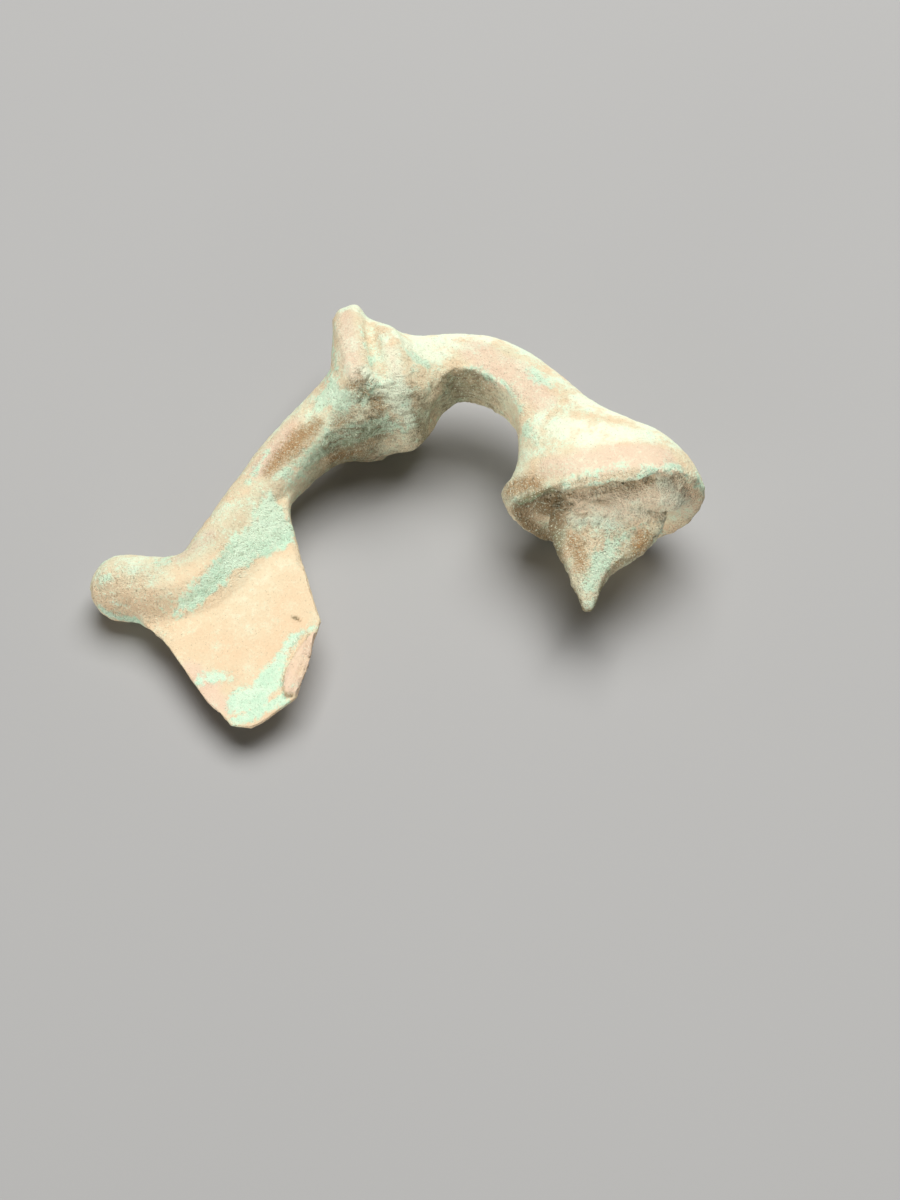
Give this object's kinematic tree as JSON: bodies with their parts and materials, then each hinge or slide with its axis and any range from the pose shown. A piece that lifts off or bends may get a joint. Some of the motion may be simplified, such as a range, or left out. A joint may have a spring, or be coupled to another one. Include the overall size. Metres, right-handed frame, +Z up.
{
  "type": "fibula brooch",
  "caption": "Cast bronze bow brooch with trumpet head, bow collar, foot knob and flat catchplate, corroded, its spring and pin lost, lying on its side.",
  "frame": {"origin": "on the surface that the brooch lies on, under the middle of its bounding box", "axes": "+X from the foot knob to the head, +Y towards the back of the bow, +Z up as the brooch lies on its side"},
  "size_m": [0.0394, 0.0306, 0.0103],
  "materials": {
    "bronze": "matt corroded bronze with a sandy crust and mint green patina"
  },
  "bodies": {
    "root": {"brooch_body": "bronze"}
  },
  "joints": []
}
